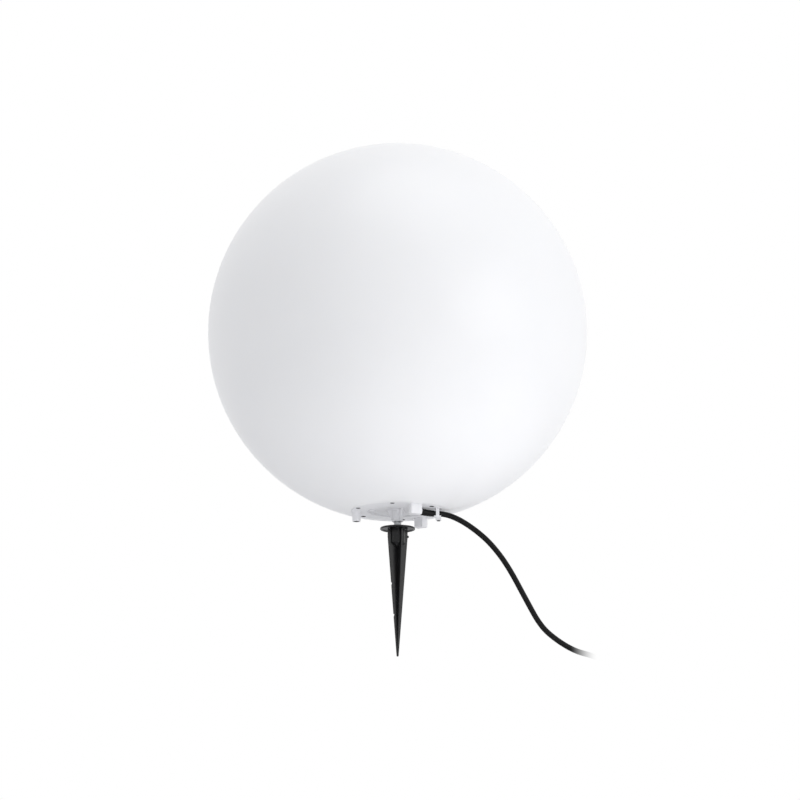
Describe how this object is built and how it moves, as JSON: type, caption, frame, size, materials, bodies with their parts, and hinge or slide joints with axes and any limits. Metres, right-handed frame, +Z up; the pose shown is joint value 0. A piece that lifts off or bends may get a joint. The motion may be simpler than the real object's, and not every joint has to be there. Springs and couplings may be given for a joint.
{
  "type": "garden globe light",
  "caption": "Opal garden globe lamp on a round base plate with a screw-on ground spike, a screw-cap bulb inside and a black rubber mains lead with plug.",
  "frame": {"origin": "tip of the ground spike, on the lamp's upright axis", "axes": "+Z up through the spike and the globe's centre; the mains lead leaves the base plate towards +X; the reference view looks along +Y"},
  "size_m": [0.5217, 0.5, 0.685],
  "materials": {
    "opal_plastic": "satin opal moulded plastic",
    "grey_plastic": "fine-grained light grey moulded plastic",
    "black_plastic": "satin black moulded plastic",
    "zinc_steel": "zinc-plated steel",
    "brass": "plain brass",
    "gasket_rubber": "soft sealing rubber",
    "cord_rubber": "matt black rubber sheath",
    "tie_nylon": "black woven tie",
    "plug_rubber": "black moulded rubber",
    "nickel": "nickel-plated brass",
    "bakelite": "black phenolic plastic",
    "ceramic": "white ceramic",
    "bulb_white": "white moulded plastic",
    "bulb_opal": "opal diffuser plastic",
    "board_white": "white circuit board",
    "block_plastic": "natural nylon",
    "core_brown": "brown insulation",
    "core_blue": "blue insulation",
    "core_green": "green-and-yellow insulation"
  },
  "bodies": {
    "base": {"base_plate": "grey_plastic", "bracket_screws": "zinc_steel", "centre_contact": "brass", "coil_ties": "tie_nylon", "cord_clip": "grey_plastic", "cord_clip_screw": "zinc_steel", "cord_coil": "cord_rubber", "cord_free": "cord_rubber", "cord_inner": "cord_rubber", "cord_sleeve": "cord_rubber", "cord_tail": "cord_rubber", "core_earth": "core_green", "core_live": "core_brown", "core_neutral": "core_blue", "earth_link": "core_green", "earth_tag": "nickel", "holder_bracket": "zinc_steel", "holder_cap": "bakelite", "holder_insert": "ceramic", "holder_nipple": "zinc_steel", "holder_sleeve": "bakelite", "lead_live": "core_brown", "lead_neutral": "core_blue", "neck_gasket": "gasket_rubber", "nipple_nut": "zinc_steel", "plate_screws": "zinc_steel", "plug_body": "plug_rubber", "plug_boot": "plug_rubber", "plug_earth_contacts": "nickel", "plug_pins": "nickel", "screw_shell": "brass", "spike_stud": "zinc_steel", "stud_nut": "zinc_steel", "stud_washer": "zinc_steel", "terminal_block": "block_plastic", "terminal_screws": "zinc_steel"},
    "globe": {"globe_shell": "opal_plastic"},
    "bulb": {"bulb_contact": "zinc_steel", "bulb_cap": "nickel", "bulb_body": "bulb_white", "led_board": "board_white", "bulb_diffuser": "bulb_opal"},
    "washer": {"spike_washer": "zinc_steel"},
    "spike": {"ground_spike": "black_plastic"}
  },
  "joints": [
    {"name": "globe_lift", "type": "slide", "parent": "base", "child": "globe", "axis": [0, 0, 1], "range_m": [0, 0.17]},
    {"name": "bulb_lift", "type": "slide", "parent": "base", "child": "bulb", "axis": [0, 0, 1], "range_m": [0, 0.027]},
    {"name": "spike_travel", "type": "slide", "parent": "base", "child": "washer", "axis": [0, 0, -1], "range_m": [0, 0.01162]},
    {"name": "spike_turn", "type": "hinge", "parent": "washer", "child": "spike", "pos_m": [0, 0, 0.17], "axis": [0, 0, -1], "range_deg": [0, 2790]}
  ],
  "couplings": [
    {"joint": "spike_travel", "follows": "spike_turn", "m_per_rad": 0.00023873}
  ]
}
